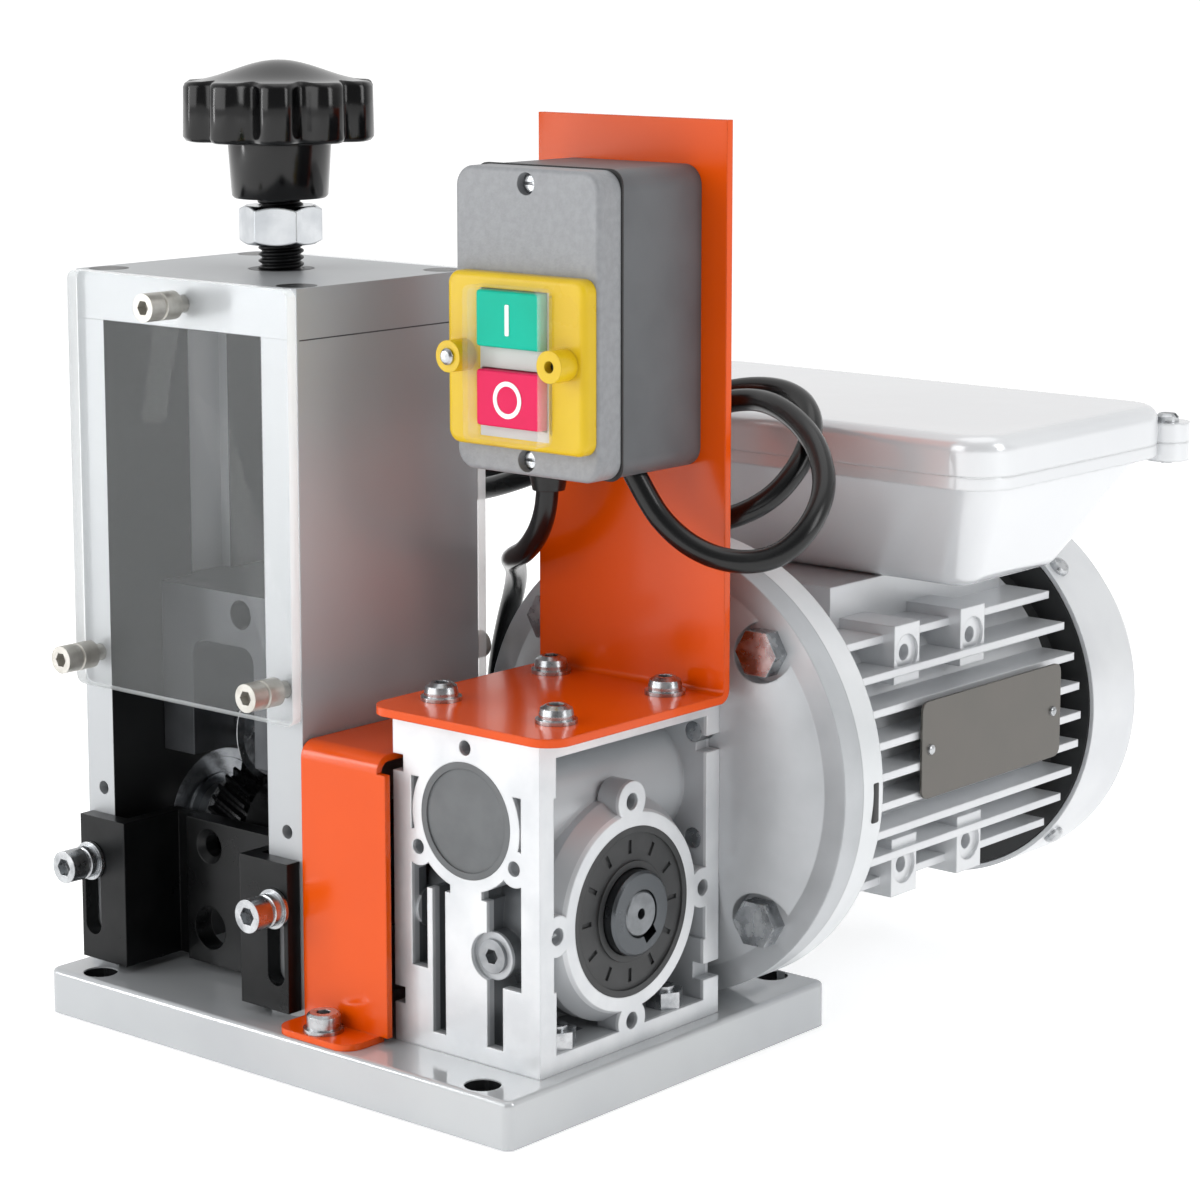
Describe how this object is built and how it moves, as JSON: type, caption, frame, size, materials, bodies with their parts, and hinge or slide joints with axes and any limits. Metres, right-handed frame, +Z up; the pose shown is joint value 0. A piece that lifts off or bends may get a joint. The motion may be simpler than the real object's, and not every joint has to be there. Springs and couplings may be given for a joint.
{
  "type": "wire stripping machine",
  "caption": "Bench wire stripping machine: a geared motor turns a ribbed feed wheel under a round blade set by a hand screw, with an on-off switch beside it.",
  "frame": {"origin": "middle of the four foot holes on the base's underside", "axes": "+X to the right from the tower to the gearbox, +Y back from the wire guide to the motor, +Z up"},
  "size_m": [0.2518, 0.3223, 0.294],
  "materials": {
    "base_paint": "satin",
    "tower_steel": "satin",
    "clear_acrylic": "gloss",
    "stainless": "satin",
    "bearing_steel": "gloss",
    "black_steel": "satin",
    "blade_steel": "satin",
    "zinc": "gloss",
    "black_plastic": "gloss",
    "cast_aluminium": "cast",
    "grey_cap": "matte",
    "seal_rubber": "matte",
    "bronze": "satin",
    "motor_silver": "satin",
    "core_iron": "matte",
    "box_silver": "gloss",
    "white_plastic": "matte",
    "orange_powder": "gloss",
    "dark_plastic": "matte",
    "cover_plastic": "stippled",
    "yellow_plastic": "satin",
    "clear_film": "gloss",
    "green_plastic": "satin",
    "red_plastic": "satin",
    "cord_black": "satin"
  },
  "bodies": {
    "machine_frame": {"base_plate": "base_paint", "side_plate_left": "tower_steel", "side_plate_right": "tower_steel", "top_plate": "tower_steel", "tower_screws": "stainless", "front_cover": "clear_acrylic", "rear_cover": "clear_acrylic", "cover_screws": "stainless", "drive_bearings": "bearing_steel", "guide_fixings": "stainless", "gearbox_housing": "cast_aluminium", "worm_cap": "grey_cap", "oil_plug": "black_plastic", "output_seals": "seal_rubber", "gearbox_bearings": "bearing_steel", "gearbox_bolts": "stainless", "gearbox_flange": "cast_aluminium", "adapter_screws": "black_steel", "motor_flange": "motor_silver", "flange_bolts": "stainless", "motor_frame": "motor_silver", "stator": "core_iron", "rear_shield": "cast_aluminium", "motor_bearings": "bearing_steel", "fan_cover": "motor_silver", "terminal_box": "box_silver", "terminal_lid": "box_silver", "lid_screws": "stainless", "capacitor": "white_plastic", "switch_bracket": "orange_powder", "bracket_fixings": "stainless", "coupling_guard": "orange_powder", "guard_fixings": "stainless", "switch_box": "dark_plastic", "switch_cover": "cover_plastic", "switch_cover_screws": "stainless", "switch_frame": "yellow_plastic", "button_film": "clear_film", "switch_block": "dark_plastic", "cable_glands": "cord_black", "motor_lead": "cord_black", "mains_cord": "cord_black", "mains_coil": "cord_black", "plug": "cord_black"},
    "carriage": {"blade_carriage": "black_steel", "blade_axle": "bearing_steel"},
    "adjuster": {"adjusting_screw": "black_steel", "lock_nut": "zinc", "knob": "black_plastic"},
    "blade": {"blade": "blade_steel"},
    "motor_shaft": {"rotor": "core_iron", "fan": "black_plastic", "worm": "bearing_steel"},
    "drive": {"drive_shaft": "bearing_steel", "feed_wheel": "black_steel", "worm_wheel": "bronze", "shaft_key": "stainless"},
    "guide": {"guide_bracket": "black_steel"},
    "green_switch": {"green_button": "green_plastic"},
    "red_switch": {"red_button": "red_plastic"}
  },
  "joints": [
    {"name": "carriage_lift", "type": "slide", "parent": "machine_frame", "child": "carriage", "axis": [0, 0, 1], "range_m": [0, 0.024]},
    {"name": "knob_turn", "type": "hinge", "parent": "carriage", "child": "adjuster", "pos_m": [-0.0458, -0.017, 0.27], "axis": [0, 0, 1], "range_deg": [0, 3450]},
    {"name": "blade_spin", "type": "hinge", "parent": "carriage", "child": "blade", "pos_m": [-0.054, -0.013, 0.0871], "axis": [1, 0, 0], "continuous": true},
    {"name": "motor_spin", "type": "hinge", "parent": "machine_frame", "child": "motor_shaft", "pos_m": [0.062, 0.1, 0.084], "axis": [0, 1, 0], "continuous": true},
    {"name": "feed_turn", "type": "hinge", "parent": "machine_frame", "child": "drive", "pos_m": [0, -0.013, 0.054], "axis": [1, 0, 0], "continuous": true},
    {"name": "guide_height", "type": "slide", "parent": "machine_frame", "child": "guide", "axis": [0, 0, 1], "range_m": [0, 0.02]},
    {"name": "green_press", "type": "slide", "parent": "machine_frame", "child": "green_switch", "axis": [0, 1, 0], "range_m": [0, 0.003], "stiffness_N_per_m": 1000, "springref_m": -0.003},
    {"name": "red_press", "type": "slide", "parent": "machine_frame", "child": "red_switch", "axis": [0, 1, 0], "range_m": [0, 0.003], "stiffness_N_per_m": 1000, "springref_m": -0.003}
  ],
  "couplings": [
    {"joint": "carriage_lift", "follows": "knob_turn", "m_per_rad": 0.00039789},
    {"joint": "feed_turn", "follows": "motor_spin", "ratio": 0.04}
  ]
}
